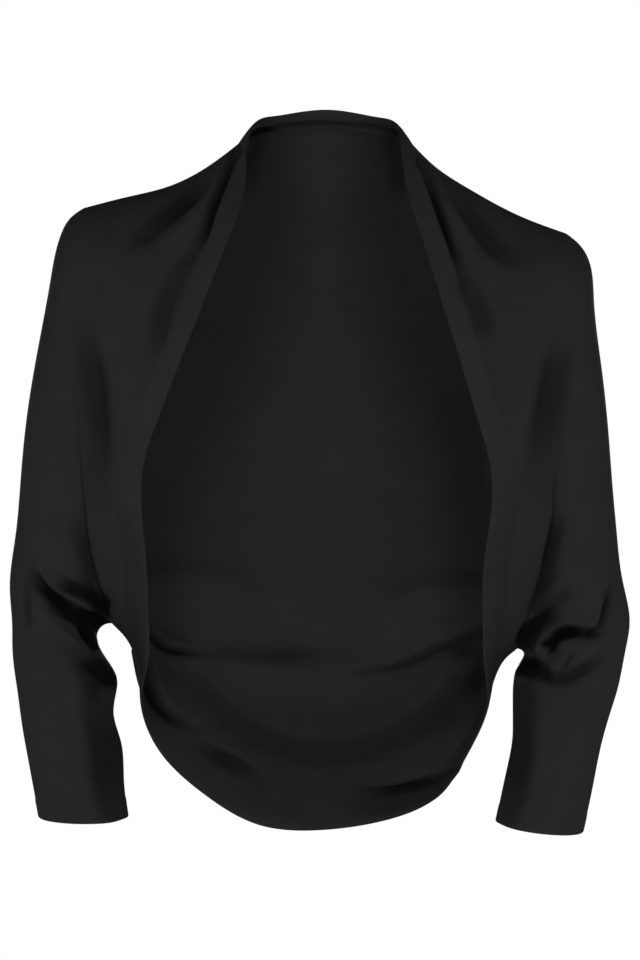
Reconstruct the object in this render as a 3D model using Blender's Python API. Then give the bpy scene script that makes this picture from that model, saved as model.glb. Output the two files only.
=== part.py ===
"""Open-front cocoon shrug in fine black jersey, filled out as it is worn.

The cloth is one smooth sheet: two fronts, a back, two sleeves and a doubled band round the opening.
Every seam is a line in space. Each piece is stretched between its seam lines, folded, given its wall
and parted from its neighbours by the seam gap. Tables are in millimetres: +X is the wearer's left,
-Y the front, +Z up, and the zero point is at the nape, between the shoulders.
"""

from collections import namedtuple
import math

import bmesh
import bpy
import numpy as np

MM = 0.001
WALL = 2.0
BAND_WALL = 3.0
SEAM_GAP = 0.3

# Faces down an armhole, over a shoulder, round the back neck and across a band.
ARMHOLE_STEPS = 16
SHOULDER_STEPS = 10
NECK_STEPS = 8
BAND_STEPS = 2

# Points to a span of a smooth line, points along half an oval, and how far the shoulder's faces crowd
# towards the neck.
CURVE_STEPS = 24
OVAL_POINTS = 97
TOWARDS_NECK = 1.35

# Points of two pieces are the same seam point when they agree to this many steps to a millimetre.
SEAM_STEPS = 100

CLOTH_COLOR = (0.0105, 0.0105, 0.0115, 1.0)
BAND_COLOR = (0.0115, 0.0115, 0.0125, 1.0)
CLOTH_ROUGHNESS = 0.92
SHARP_ANGLE = 50

# The opening runs nape, shoulder, front, side, hem. Seam is where the band is sewn on, edge is its fold.
# The right and the left columns hold X and Z, and the two sides share their depth Y.
Opening = namedtuple("Opening", "name seam_y edge_y r_seam r_edge l_seam l_edge")
OPENING = (
    Opening("nape", 66, 61, (4, 21), (4, 36.5), (4, 21), (4, 36.5)),
    Opening("neck side", 42, 39, (-43, 17), (-37, 31), (51, 15), (45, 30)),
    Opening("shoulder", 0, 2, (-70, 7), (-56, 25), (77, 6), (64, 23)),
    Opening("collar", -28, -26, (-80, -10), (-64, 7), (85, -10), (68, 6)),
    Opening("collarbone", -52, -53, (-87, -39), (-66, -27), (92, -38), (72, -27)),
    Opening("upper chest", -84, -88, (-108, -101), (-86, -91), (112, -100), (91, -91)),
    Opening("chest", -93, -99, (-126, -146), (-104, -138), (127, -146), (105, -138)),
    Opening("low chest", -93, -100, (-145, -193), (-123, -186), (142, -192), (120, -186)),
    Opening("rib", -85, -94, (-162, -238), (-141, -233), (156, -238), (134, -233)),
    Opening("elbow level", -73, -85, (-174, -276), (-154, -273), (166, -276), (145, -273)),
    Opening("waist", -60, -73, (-177, -315), (-156, -315), (168, -317), (146, -317)),
    Opening("low waist", -42, -56, (-173, -358), (-152, -360), (162, -362), (140, -362)),
    Opening("hip front", -27, -42, (-170, -400), (-150.5, -405), (160, -408), (139.5, -408)),
    Opening("side", -15, -32, (-162.5, -431), (-150.5, -441), (153.5, -446), (141, -450)),
    Opening("side low", 13, -10, (-155, -468), (-157, -477), (145, -473), (144, -481)),
    Opening("hem side", 30, 10, (-134, -500), (-143, -521), (126, -510), (128, -523)),
    Opening("hem turn", 44, 28, (-97, -526), (-104, -560), (92, -545), (97, -565)),
    Opening("hem low", 54, 40, (-52, -545), (-55, -588), (50, -556), (54, -584)),
    Opening("hem middle", 58, 46, (2, -555), (0, -592.5), (2, -555), (0, -592.5)),
)

# The shoulder seam between the neck and the armhole, from the neck outwards.
Ridge = namedtuple("Ridge", "right left")
RIDGE = (
    Ridge((-95, -12), (96, -13)),
    Ridge((-133, -32), (129, -35)),
    Ridge((-168, -41), (170, -57)),
)

# The dropped armhole, from the shoulder down to the underarm.
Armhole = namedtuple("Armhole", "name front_y back_y right left")
ARMHOLE = (
    Armhole("shoulder point", 0, 0, (-207, -51), (212, -73)),
    Armhole("cap", -36, 38, (-207, -71), (210, -92)),
    Armhole("high", -56, 58, (-206, -120), (207, -140)),
    Armhole("middle", -62, 64, (-205, -190), (202, -205)),
    Armhole("low", -60, 62, (-205, -258), (199, -268)),
    Armhole("bend", -52, 55, (-205, -318), (200, -320)),
    Armhole("under", -32, 34, (-196, -371), (186, -380)),
    Armhole("underarm", 0, 0, (-183, -411), (170, -433)),
)

# Sleeve sections: where each meets the outer and the inner outline, its middle in depth, half its
# depth, how full its oval is, how far its front hangs below its back, and the rings up to the next one.
Section = namedtuple("Section", "name r_outer r_inner l_outer l_inner middle_y depth full hang rings")
SLEEVE = (
    Section("armhole", (-207, -51), (-183, -411), (212, -73), (170, -433), 0, 62, 2.5, 0, 1),
    Section("shoulder", (-219.5, -60.5), (-184.9, -411.2), (223, -82), (171.2, -433.4), 0, 62, 2.5, 0, 1),
    Section("cap", (-226, -72), (-186.8, -411.5), (230, -92), (172.5, -433.8), 0, 63, 2.5, 0, 1),
    Section("upper arm", (-236, -115), (-190.5, -413), (236, -130), (174.6, -435.2), 0, 63, 2.5, 0, 1),
    Section("arm middle", (-247, -175), (-193.5, -415.5), (242.5, -188), (176, -437.3), 0, 61, 2.5, 0, 2),
    Section("arm low", (-256, -230), (-195.5, -419), (248, -238), (176, -440), 0, 58, 2.4, 0, 1),
    Section("above elbow", (-261.5, -285), (-196.3, -423), (252, -290), (174.8, -443), -1, 54, 2.3, 0, 2),
    Section("bend", (-266, -335), (-195.5, -428), (256, -335), (172.6, -446.5), -3, 49, 2.2, 0, 3),
    Section("elbow", (-271, -380), (-193, -434.5), (261, -375), (170, -451), -5, 46, 2.1, 0, 3),
    Section("below elbow", (-269, -410), (-188, -442.5), (267, -410), (168, -456), -8, 43, 2.0, 0, 2),
    Section("forearm top", (-268.5, -436), (-181.5, -452.5), (263.5, -434), (166.8, -464), -11, 42, 2.0, 0, 2),
    Section("forearm", (-264.5, -468), (-178.6, -467), (257, -466), (166.3, -478), -15, 41, 2.0, 1, 2),
    Section("forearm middle", (-260.5, -497), (-181.5, -491), (249, -492), (166.3, -497), -19, 40, 2.0, 2, 1),
    Section("forearm low", (-256.5, -520), (-175, -515), (241.5, -519), (165.5, -515), -23, 40, 2.0, 3, 1),
    Section("above cuff", (-251, -549), (-172.5, -547), (235, -551), (159.5, -545), -28, 39, 2.0, 4, 1),
    Section("cuff", (-245.3, -579), (-168.8, -579), (226, -592), (151.4, -583), -33, 38, 2.0, 6, 0),
)

# The crease from underarm to underarm, where the lower back begins to swag.
Point = namedtuple("Point", "x y z")
WAIST = (
    Point(-152, 38, -417), Point(-124, 54, -431), Point(-62, 68, -441), Point(0, 72, -448),
    Point(60, 68, -447), Point(108, 54, -437), Point(140, 38, -427),
)

# Depth of the back along its middle line, at each height. The sides stay level for the first share of the
# width, the round between them is raised to a power, and it blends in over a share of the width and height.
Spine = namedtuple("Spine", "z y")
SPINE = (
    Spine(-448, 72), Spine(-400, 83), Spine(-350, 97), Spine(-290, 109), Spine(-210, 116),
    Spine(-130, 114), Spine(-60, 102), Spine(-10, 83), Spine(21, 66),
)
BODY_SIDE = 0.08
BODY_ROUND = 1.2
BODY_BLEND = 0.15

# Folds, drawn on the front or the back view as a start, a middle and an end (X, Z). Width is half the
# fold's breadth. Rise is outward on the cloth where positive, and inward where negative.
Fold = namedtuple("Fold", "side start middle end width rise")
FOLDS = (
    Fold("front", (-76, 0), (-97, -60), (-128, -120), 10, -9.0),
    Fold("front", (-90, -16), (-122, -66), (-150, -96), 11, 6.0),
    Fold("front", (-100, -22), (-128, -52), (-170, -82), 13, -8.0),
    Fold("front", (84, -4), (105, -61), (136, -126), 10, -9.0),
    Fold("front", (94, -16), (119, -54), (146, -96), 11, 6.0),
    Fold("front", (106, -20), (142, -68), (186, -98), 15, -7.0),
    Fold("front", (-209, -140), (-201, -220), (-194, -310), 18, -5.0),
    Fold("front", (204, -165), (193, -240), (184, -310), 18, -5.0),
    Fold("front", (-252, -362), (-229, -391), (-200, -406), 13, -11.0),
    Fold("front", (-248, -394), (-226, -424), (-200, -444), 13, 6.0),
    Fold("front", (246, -404), (220, -420), (192, -424), 14, -9.0),
    Fold("front", (252, -436), (222, -456), (190, -456), 13, -5.0),
    Fold("inside", (-165, -413), (-110, -438), (-10, -445), 12, 9.0),
    Fold("inside", (150, -416), (80, -441), (0, -455), 12, 7.0),
    Fold("inside", (-150, -440), (-138, -480), (-106, -508), 10, 8.0),
    Fold("inside", (-120, -468), (0, -526), (118, -470), 15, 9.0),
    Fold("inside", (-108, -518), (-70, -532), (-25, -550), 10, 6.0),
    Fold("inside", (121, -532), (75, -548), (15, -551), 10, 6.0),
    Fold("back", (-60, -40), (-100, -150), (-150, -250), 20, -6.0),
    Fold("back", (60, -40), (105, -160), (150, -260), 20, -6.0),
    Fold("back", (-252, -352), (-230, -388), (-206, -402), 15, -8.0),
    Fold("back", (248, -374), (222, -406), (196, -418), 15, -8.0),
)
# A fold fades in as the cloth turns towards its side, and it dies away this near to an underarm.
FACING_START = 0.15
FACING_END = 0.65
UNDERARM_CALM = 34

# Along a fold the rise follows the middle share of half a wave, raised to a power.
FADE_START = 0.12
FADE_SPAN = 0.76
FADE_POWER = 0.8


def clear_scene():
    for old in list(bpy.data.objects):
        bpy.data.objects.remove(old, do_unlink=True)


def smooth_line(points, closed=False):
    """Dense points on the smooth curve through the given ones, CURVE_STEPS to a span."""
    knots = np.asarray(points, dtype=float)
    if closed:
        knots = np.vstack([knots, knots[:1]])
    count = len(knots)
    span = np.linalg.norm(np.diff(knots, axis=0), axis=1)
    slope = np.diff(knots, axis=0) / span[:, None]
    matrix = np.zeros((count, count))
    wanted = np.zeros_like(knots)
    for i in range(1, count - 1):
        matrix[i, i - 1:i + 2] = span[i], 2 * (span[i - 1] + span[i]), span[i - 1]
        wanted[i] = 3 * (span[i] * slope[i - 1] + span[i - 1] * slope[i])
    if closed:
        matrix[0, 0], matrix[0, 1], matrix[0, -2] = 2 * (span[-1] + span[0]), span[-1], span[0]
        wanted[0] = 3 * (span[0] * slope[-1] + span[-1] * slope[0])
        matrix[-1, 0], matrix[-1, -1] = -1, 1
    else:
        matrix[0, :2], wanted[0] = (2, 1), 3 * slope[0]
        matrix[-1, -2:], wanted[-1] = (1, 2), 3 * slope[-1]
    tangent = np.linalg.solve(matrix, wanted)
    t = np.linspace(0, 1, CURVE_STEPS, endpoint=False)[:, None]
    spans = []
    for i in range(count - 1):
        start, end = knots[i], knots[i + 1]
        pull_start, pull_end = span[i] * tangent[i], span[i] * tangent[i + 1]
        spans.append((2 * t**3 - 3 * t**2 + 1) * start + (t**3 - 2 * t**2 + t) * pull_start
                     + (3 * t**2 - 2 * t**3) * end + (t**3 - t**2) * pull_end)
    return np.vstack(spans + [knots[-1:]])


def at_shares(line, shares):
    """The line's points at the given shares of its length."""
    length = np.concatenate([[0], np.cumsum(np.linalg.norm(np.diff(line, axis=0), axis=1))])
    wanted = np.asarray(shares) * length[-1]
    return np.stack([np.interp(wanted, length, line[:, axis]) for axis in range(line.shape[1])], axis=1)


def evenly(line, count):
    """The line at count + 1 points, equally far apart along it."""
    return at_shares(line, np.linspace(0, 1, count + 1))


def shoulder_shares():
    """Shares of the way from the neck to the armhole, closer together where the folds begin."""
    return np.linspace(0, 1, SHOULDER_STEPS + 1) ** TOWARDS_NECK


def stretch(line, first, last, count):
    """The stretch of a smooth line between two of its table rows."""
    return evenly(line[first * CURVE_STEPS:last * CURVE_STEPS + 1], count)


def station(name):
    """The row of the opening table with that name."""
    return [row.name for row in OPENING].index(name)


def opening_line(part):
    """The closed line of the band's seam or of its folded edge, down the right side and up the left."""
    depth = [getattr(row, part + "_y") for row in OPENING]
    right = [(getattr(row, "r_" + part)[0], y, getattr(row, "r_" + part)[1]) for row, y in zip(OPENING, depth)]
    left = [(getattr(row, "l_" + part)[0], y, getattr(row, "l_" + part)[1]) for row, y in zip(OPENING, depth)]
    return smooth_line(right + left[-2:0:-1], closed=True)


def opening_lines(part):
    """The opening's four stretches, from the wearer's right to left or from the top down."""
    line = opening_line(part)
    last = 2 * (len(OPENING) - 1)
    shoulder, side = station("shoulder"), station("side")
    half_neck = NECK_STEPS // 2
    hem_steps = 2 * SHOULDER_STEPS + NECK_STEPS
    neck_left = stretch(line, last - shoulder, last, half_neck)
    neck_right = stretch(line, 0, shoulder, half_neck)
    return {
        "neck": np.vstack([neck_left, neck_right[1:]])[::-1],
        "front_right": stretch(line, shoulder, side, ARMHOLE_STEPS),
        "front_left": stretch(line, last - side, last - shoulder, ARMHOLE_STEPS)[::-1],
        "hem": stretch(line, side, last - side, hem_steps),
    }


def armhole_halves(side):
    """The armhole's front and back lines, from the shoulder point to the underarm."""
    places = [getattr(row, side) for row in ARMHOLE]
    front = [(place[0], row.front_y, place[1]) for place, row in zip(places, ARMHOLE)]
    back = [(place[0], row.back_y, place[1]) for place, row in zip(places, ARMHOLE)]
    loop = smooth_line(front + back[-2:0:-1], closed=True)
    last = len(ARMHOLE) - 1
    return stretch(loop, 0, last, ARMHOLE_STEPS), stretch(loop, last, 2 * last, ARMHOLE_STEPS)[::-1]


def shoulder_seam(side, neck_point, shoulder_point):
    """From the neck to the shoulder point, denser towards the neck, where the folds start."""
    middle = [(getattr(row, side)[0], 0, getattr(row, side)[1]) for row in RIDGE]
    line = smooth_line([neck_point] + middle + [shoulder_point])
    return at_shares(line, shoulder_shares())


def coons(top, bottom, first, last, across, down):
    """A sheet stretched between four lines; first and last run down its two sides."""
    across = across[None, :, None]
    down = down[:, None, None]
    sheet = (1 - down) * top[None] + down * bottom[None]
    sheet = sheet + (1 - across) * first[:, None] + across * last[:, None]
    corners = (1 - across) * (1 - down) * top[0] + across * (1 - down) * top[-1]
    corners = corners + (1 - across) * down * bottom[0] + across * down * bottom[-1]
    return sheet - corners


def front_sheet(seam, armhole, shoulder, side_seam):
    """A front, stretched between its band seam, the armhole, the shoulder and the short side seam."""
    down = np.linspace(0, 1, ARMHOLE_STEPS + 1)
    return coons(shoulder, side_seam, seam, armhole, shoulder_shares(), down)


def smooth_step(value):
    """0 to 1 with soft ends."""
    value = np.clip(value, 0, 1)
    return value * value * (3 - 2 * value)


def back_sheet(top, hem, right_arm, left_arm):
    """The back, rounded like a torso down to the waist crease, then straight across to the hem."""
    waist = evenly(smooth_line([right_arm[-1], *WAIST, left_arm[-1]]), len(top) - 1)
    across = np.linspace(0, 1, len(top))
    down = np.linspace(0, 1, ARMHOLE_STEPS + 1)
    sheet = coons(top, waist, right_arm, left_arm, across, down)
    middle_y = np.interp(sheet[:, :, 2], [row.z for row in SPINE], [row.y for row in SPINE])
    side_y = (right_arm[:, 1] + left_arm[:, 1])[:, None] / 2
    from_side = np.minimum(across, 1 - across)
    body = np.clip((from_side - BODY_SIDE) / (0.5 - BODY_SIDE), 0, 1)
    body = np.sin(math.pi / 2 * body) ** BODY_ROUND
    wanted = side_y + (middle_y - side_y) * body[None]
    share = smooth_step(down / BODY_BLEND) * smooth_step((1 - down) / BODY_BLEND)
    share = share[:, None] * smooth_step(from_side / BODY_BLEND)[None]
    sheet[:, :, 1] += share * (wanted - sheet[:, :, 1])
    below = 1 - shoulder_shares()[-2::-1, None, None]
    return np.vstack([sheet, (1 - below) * waist[None] + below * hem[None]])


def half_ring(outer, inner, middle_y, depth, full, hang):
    """Half an oval from the outer to the inner outline; a negative depth is its front half."""
    angle = np.linspace(0, math.pi, OVAL_POINTS)
    along = np.sign(np.cos(angle)) * np.abs(np.cos(angle)) ** (2 / full)
    out = np.sin(angle).clip(0) ** (2 / full)
    middle, half = (outer + inner) / 2, (outer - inner) / 2
    x = middle[0] + half[0] * along
    z = middle[1] + half[1] * along + hang * out * np.sign(depth)
    return evenly(np.stack([x, middle_y + depth * out, z], axis=1), ARMHOLE_STEPS)


def closed_ring(front, back):
    """The two halves of an oval as one ring, each end point once."""
    return np.vstack([front, back[-2:0:-1]])


def sleeve_sheet(side, armhole_front, armhole_back):
    """Rings from the armhole to the cuff. The armhole's own shape fades out towards the elbow."""
    rows, picked = [], []
    for index, row in enumerate(SLEEVE):
        outer, inner = (row.r_outer, row.r_inner) if side == "right" else (row.l_outer, row.l_inner)
        rows.append((*outer, *inner, row.middle_y, row.depth, row.full, row.hang))
        picked += [index * CURVE_STEPS + k * CURVE_STEPS // row.rings for k in range(row.rings)]
    picked.append((len(SLEEVE) - 1) * CURVE_STEPS)
    line = smooth_line(rows)
    elbow = [row.name for row in SLEEVE].index("elbow") * CURVE_STEPS
    rings = []
    for place in picked:
        ox, oz, ix, iz, middle_y, depth, full, hang = line[place]
        outer, inner = np.array((ox, oz)), np.array((ix, iz))
        ring = closed_ring(half_ring(outer, inner, middle_y, -depth, full, hang),
                           half_ring(outer, inner, middle_y, depth, full, hang))
        if place == 0:
            difference = closed_ring(armhole_front, armhole_back) - ring
        rings.append(ring + max(0.0, 1 - place / elbow) ** 2 * difference)
    sheet = np.stack(rings)
    return np.concatenate([sheet, sheet[:, :1]], axis=1)


def band_sheet(seam, edge):
    """A strip from the seam line to the folded edge."""
    share = np.linspace(0, 1, BAND_STEPS + 1)[None, :, None]
    return seam[:, None] * (1 - share) + edge[:, None] * share


def grid_normals(grid, turned, tube):
    """The sum of the face normals round each point of a sheet."""
    across = np.diff(grid, axis=1)
    down = np.diff(grid, axis=0)
    face = np.cross((across[:-1] + across[1:]) / 2, (down[:, :-1] + down[:, 1:]) / 2)
    if turned:
        face = -face
    total = np.zeros_like(grid)
    for rows in (slice(0, -1), slice(1, None)):
        for columns in (slice(0, -1), slice(1, None)):
            total[rows, columns] += face
    if tube:
        total[:, 0] += total[:, -1]
        total[:, -1] = total[:, 0]
    return total


def shared_normals(pieces):
    """Unit normals, the same for the pieces that meet at a seam point."""
    places, totals, owners = [], [], []
    for piece in pieces:
        places.append(piece["grid"].reshape(-1, 3))
        total = grid_normals(piece["grid"], piece["turned"], piece["tube"])
        if piece["tube"]:
            total[:, -1] = 0
        totals.append(total.reshape(-1, 3))
        owners.append(len(total.reshape(-1, 3)))
    keys = np.round(np.vstack(places) * SEAM_STEPS).astype(np.int64)
    unique, index = np.unique(keys, axis=0, return_inverse=True)
    index = index.reshape(-1)
    summed = np.zeros((len(unique), 3))
    np.add.at(summed, index, np.vstack(totals))
    normals = summed[index] / np.linalg.norm(summed[index], axis=1)[:, None]
    for piece, part in zip(pieces, np.split(normals, np.cumsum(owners)[:-1])):
        piece["normal"] = part.reshape(piece["grid"].shape)


def fold_height(fold, x, z):
    """How far a fold moves the points at x and z, fading out towards both of its ends."""
    curve = smooth_line([fold.start, fold.middle, fold.end])
    nearest = np.full(x.shape, np.inf)
    where = np.zeros(x.shape)
    for i in range(len(curve) - 1):
        start, step = curve[i], curve[i + 1] - curve[i]
        along = ((x - start[0]) * step[0] + (z - start[1]) * step[1]) / (step @ step)
        along = np.clip(along, 0, 1)
        distance = np.hypot(x - start[0] - along * step[0], z - start[1] - along * step[1])
        closer = distance < nearest
        nearest = np.where(closer, distance, nearest)
        where = np.where(closer, (i + along) / (len(curve) - 1), where)
    fade = np.sin(math.pi * (FADE_START + FADE_SPAN * where)) ** FADE_POWER
    return fold.rise * fade * np.exp(-(nearest / fold.width) ** 2)


def add_folds(pieces):
    """Move every sheet along its normals by the folds on its side, and keep the underarms smooth."""
    for piece in pieces:
        grid, normal = piece["grid"], piece["normal"]
        facing = -normal[:, :, 1]
        height = np.zeros(facing.shape)
        calm = np.ones(facing.shape)
        for x, z in (ARMHOLE[-1].right, ARMHOLE[-1].left):
            calm *= smooth_step(np.hypot(grid[:, :, 0] - x, grid[:, :, 2] - z) / UNDERARM_CALM)
        for fold in FOLDS:
            sign = 1 if fold.side == "front" else -1
            share = smooth_step((sign * facing - FACING_START) / (FACING_END - FACING_START))
            height += share * fold_height(fold, grid[:, :, 0], grid[:, :, 2])
        piece["grid"] = grid + normal * (calm * height)[:, :, None]


def part_seams(piece):
    """Draw the sewn borders back by half the seam gap, square to each seam."""
    grid = piece["grid"].copy()
    moved = np.zeros_like(grid)
    for border in piece["seams"]:
        turned = np.swapaxes(grid, 0, 1) if border in ("first", "last") else grid
        here, inside = (0, 1) if border in ("top", "first") else (-1, -2)
        inward = turned[inside] - turned[here]
        along = np.gradient(turned[here], axis=0)
        along /= np.linalg.norm(along, axis=1)[:, None]
        inward -= along * np.sum(inward * along, axis=1)[:, None]
        inward *= SEAM_GAP / 2 / np.linalg.norm(inward, axis=1)[:, None]
        target = np.swapaxes(moved, 0, 1) if border in ("first", "last") else moved
        target[here] += inward
    piece["grid"] = grid + moved


def cloth_material(name, color):
    material = bpy.data.materials.new(name)
    material.use_nodes = True
    shader = material.node_tree.nodes["Principled BSDF"]
    shader.inputs["Base Color"].default_value = color
    shader.inputs["Roughness"].default_value = CLOTH_ROUGHNESS
    shader.inputs["Metallic"].default_value = 0.0
    return material


def add_wall(piece):
    """Turn a sheet into a closed wall: its outside, its inside and the rims between them."""
    grid, normal, tube = piece["grid"], piece["normal"], piece["tube"]
    rows, columns = grid.shape[0], grid.shape[1] - (1 if tube else 0)
    mesh = bmesh.new()
    skins = []
    for sign in (1, -1):
        points = (grid + sign * piece["wall"] / 2 * normal) * MM
        skins.append([[mesh.verts.new(points[r, c]) for c in range(columns)] for r in range(rows)])
    last_column = columns if tube else columns - 1
    for skin, order in zip(skins, (1, -1)):
        for r in range(rows - 1):
            for c in range(last_column):
                right = (c + 1) % columns
                corners = (skin[r][c], skin[r][right], skin[r + 1][right], skin[r + 1][c])
                mesh.faces.new(corners[::order])
    rims = [[(r, c) for c in range(columns)] for r in (0, rows - 1)]
    if tube:
        rims = [rim + rim[:1] for rim in rims]
    else:
        rims += [[(r, c) for r in range(rows)] for c in (0, columns - 1)]
    for rim in rims:
        for (r0, c0), (r1, c1) in zip(rim, rim[1:]):
            mesh.faces.new((skins[0][r0][c0], skins[0][r1][c1], skins[1][r1][c1], skins[1][r0][c0]))
    bmesh.ops.recalc_face_normals(mesh, faces=mesh.faces)
    data = bpy.data.meshes.new(piece["name"])
    mesh.to_mesh(data)
    mesh.free()
    data.shade_smooth()
    data.set_sharp_from_angle(angle=math.radians(SHARP_ANGLE))
    data.materials.append(cloth_material(piece["name"] + "_cloth", piece["color"]))
    part = bpy.data.objects.new(piece["name"], data)
    bpy.context.scene.collection.objects.link(part)
    return part


def new_piece(name, grid, turned, seams, wall=WALL, color=CLOTH_COLOR, tube=False):
    return {"name": name, "grid": grid, "turned": turned, "seams": seams, "wall": wall,
            "color": color, "tube": tube}


def make_sheets():
    """Every piece as a sheet of points. The cross product of its two directions says which way it faces."""
    seam, edge = opening_lines("seam"), opening_lines("edge")
    pieces, shoulders, back_arms = [], {}, {}
    for side in ("right", "left"):
        front_arm, back_arms[side] = armhole_halves(side)
        front_seam = seam["front_" + side]
        shoulders[side] = shoulder_seam(side, front_seam[0], front_arm[0])
        side_seam = at_shares(np.stack([front_seam[-1], front_arm[-1]]), shoulder_shares())
        is_left = side == "left"
        pieces.append(new_piece("front_" + side, front_sheet(front_seam, front_arm, shoulders[side], side_seam),
                                is_left, ("top", "bottom", "first", "last")))
        pieces.append(new_piece("sleeve_" + side, sleeve_sheet(side, front_arm, back_arms[side]),
                                not is_left, ("top",), tube=True))
        pieces.append(new_piece("front_band_" + side, band_sheet(front_seam, edge["front_" + side]),
                                not is_left, ("top", "bottom", "first"), BAND_WALL, BAND_COLOR))
    top = np.vstack([shoulders["right"][::-1], seam["neck"][1:-1], shoulders["left"]])
    pieces.append(new_piece("back", back_sheet(top, seam["hem"], back_arms["right"], back_arms["left"]),
                            False, ("top", "bottom", "first", "last")))
    pieces.append(new_piece("neck_band", np.swapaxes(band_sheet(seam["neck"], edge["neck"])[:, ::-1], 0, 1),
                            False, ("bottom", "first", "last"), BAND_WALL, BAND_COLOR))
    pieces.append(new_piece("hem_band", np.swapaxes(band_sheet(seam["hem"], edge["hem"]), 0, 1),
                            False, ("top", "first", "last"), BAND_WALL, BAND_COLOR))
    return pieces


def main():
    clear_scene()
    pieces = make_sheets()
    shared_normals(pieces)
    add_folds(pieces)
    shared_normals(pieces)
    for piece in pieces:
        part_seams(piece)
        part = add_wall(piece)
        print(piece["name"], "faces", len(part.data.polygons))


main()
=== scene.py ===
# %% [markdown]
# # An open-front cocoon shrug in fine black jersey
#
# The garment is filled out as it is worn, with nobody in it: two fronts, a back that drapes into swags
# at the bottom, two dolman sleeves and a doubled band round the one long opening. This lesson builds the
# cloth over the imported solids. Every piece is first a smooth sheet of points between its seams, then a
# Blender grid laid on that sheet, then a thin closed wall of cloth.

import math
from collections import namedtuple

import bmesh
import bpy
import numpy as np
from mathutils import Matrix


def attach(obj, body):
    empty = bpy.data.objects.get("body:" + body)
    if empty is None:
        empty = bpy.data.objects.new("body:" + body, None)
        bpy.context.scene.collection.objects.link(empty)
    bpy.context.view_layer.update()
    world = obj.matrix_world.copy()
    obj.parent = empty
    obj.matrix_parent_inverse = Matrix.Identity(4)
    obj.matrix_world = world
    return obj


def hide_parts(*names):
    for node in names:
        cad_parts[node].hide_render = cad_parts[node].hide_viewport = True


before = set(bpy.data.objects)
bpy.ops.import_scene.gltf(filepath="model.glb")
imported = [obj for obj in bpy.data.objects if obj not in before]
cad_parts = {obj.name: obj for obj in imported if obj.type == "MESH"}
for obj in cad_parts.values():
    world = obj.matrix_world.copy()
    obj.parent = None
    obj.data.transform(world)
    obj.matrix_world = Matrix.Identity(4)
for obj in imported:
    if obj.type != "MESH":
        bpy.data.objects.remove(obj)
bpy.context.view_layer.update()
MM = 0.001

# %% [markdown]
# ## The camera
#
# The photograph was taken level with the middle of the garment, from straight in front, with a long lens.
# A camera far away keeps the near edges of the fronts from spreading. The lens could be set by eye, but it
# follows from the real size of a pixel, so the render falls on the photograph. Black cloth shows its folds
# only as small steps of grey, so the picture uses the plain standard tone curve.

# %% Camera
PIXEL = 0.87 * MM
FRAME_WIDE, FRAME_HIGH = 640, 960
NAPE_PIXEL = (322, 150)
CAMERA_AWAY = 14.0

camera_data = bpy.data.cameras.new("camera")
camera = bpy.data.objects.new("camera", camera_data)
bpy.context.scene.collection.objects.link(camera)
camera_data.lens = camera_data.sensor_width * CAMERA_AWAY / (FRAME_HIGH * PIXEL)
camera_x, camera_z = (FRAME_WIDE / 2 - NAPE_PIXEL[0]) * PIXEL, (NAPE_PIXEL[1] - FRAME_HIGH / 2) * PIXEL
camera.location = (camera_x, -CAMERA_AWAY, camera_z)
camera.rotation_euler = (math.radians(90), 0, 0)
bpy.context.scene.camera = camera
bpy.context.scene.view_settings.view_transform = "Standard"
print("lens, mm:", round(camera_data.lens))

# %% [markdown]
# ## The lines of the cut
#
# A maker thinks of a garment as seams. These tables hold the seams as they lie on the wearer, in
# millimetres: +X is the wearer's left, -Y the front, +Z up, and zero is at the nape. The opening runs nape,
# shoulder, front, side, hem, with the line where the band is sewn on (seam) and its fold (edge).

# %% The opening
Opening = namedtuple("Opening", "name seam_y edge_y r_seam r_edge l_seam l_edge")
OPENING = (
    Opening("nape", 66, 61, (4, 21), (4, 36.5), (4, 21), (4, 36.5)),
    Opening("neck side", 42, 39, (-43, 17), (-37, 31), (51, 15), (45, 30)),
    Opening("shoulder", 0, 2, (-70, 7), (-56, 25), (77, 6), (64, 23)),
    Opening("collar", -28, -26, (-80, -10), (-64, 7), (85, -10), (68, 6)),
    Opening("collarbone", -52, -53, (-87, -39), (-66, -27), (92, -38), (72, -27)),
    Opening("upper chest", -84, -88, (-108, -101), (-86, -91), (112, -100), (91, -91)),
    Opening("chest", -93, -99, (-126, -146), (-104, -138), (127, -146), (105, -138)),
    Opening("low chest", -93, -100, (-145, -193), (-123, -186), (142, -192), (120, -186)),
    Opening("rib", -85, -94, (-162, -238), (-141, -233), (156, -238), (134, -233)),
    Opening("elbow level", -73, -85, (-174, -276), (-154, -273), (166, -276), (145, -273)),
    Opening("waist", -60, -73, (-177, -315), (-156, -315), (168, -317), (146, -317)),
    Opening("low waist", -42, -56, (-173, -358), (-152, -360), (162, -362), (140, -362)),
    Opening("hip front", -27, -42, (-170, -400), (-150.5, -405), (160, -408), (139.5, -408)),
    Opening("side", -15, -32, (-162.5, -431), (-150.5, -441), (153.5, -446), (141, -450)),
    Opening("side low", 13, -10, (-155, -468), (-157, -477), (145, -473), (144, -481)),
    Opening("hem side", 30, 10, (-134, -500), (-143, -521), (126, -510), (128, -523)),
    Opening("hem turn", 44, 28, (-97, -526), (-104, -560), (92, -545), (97, -565)),
    Opening("hem low", 54, 40, (-52, -545), (-55, -588), (50, -556), (54, -584)),
    Opening("hem middle", 58, 46, (2, -555), (0, -592.5), (2, -555), (0, -592.5)),
)
print("stations along one half of the opening:", len(OPENING))

# %% The shoulder seams, the armholes, the waist crease and the spine
Ridge = namedtuple("Ridge", "right left")
RIDGE = (
    Ridge((-95, -12), (96, -13)),
    Ridge((-133, -32), (129, -35)),
    Ridge((-168, -41), (170, -57)),
)

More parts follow.
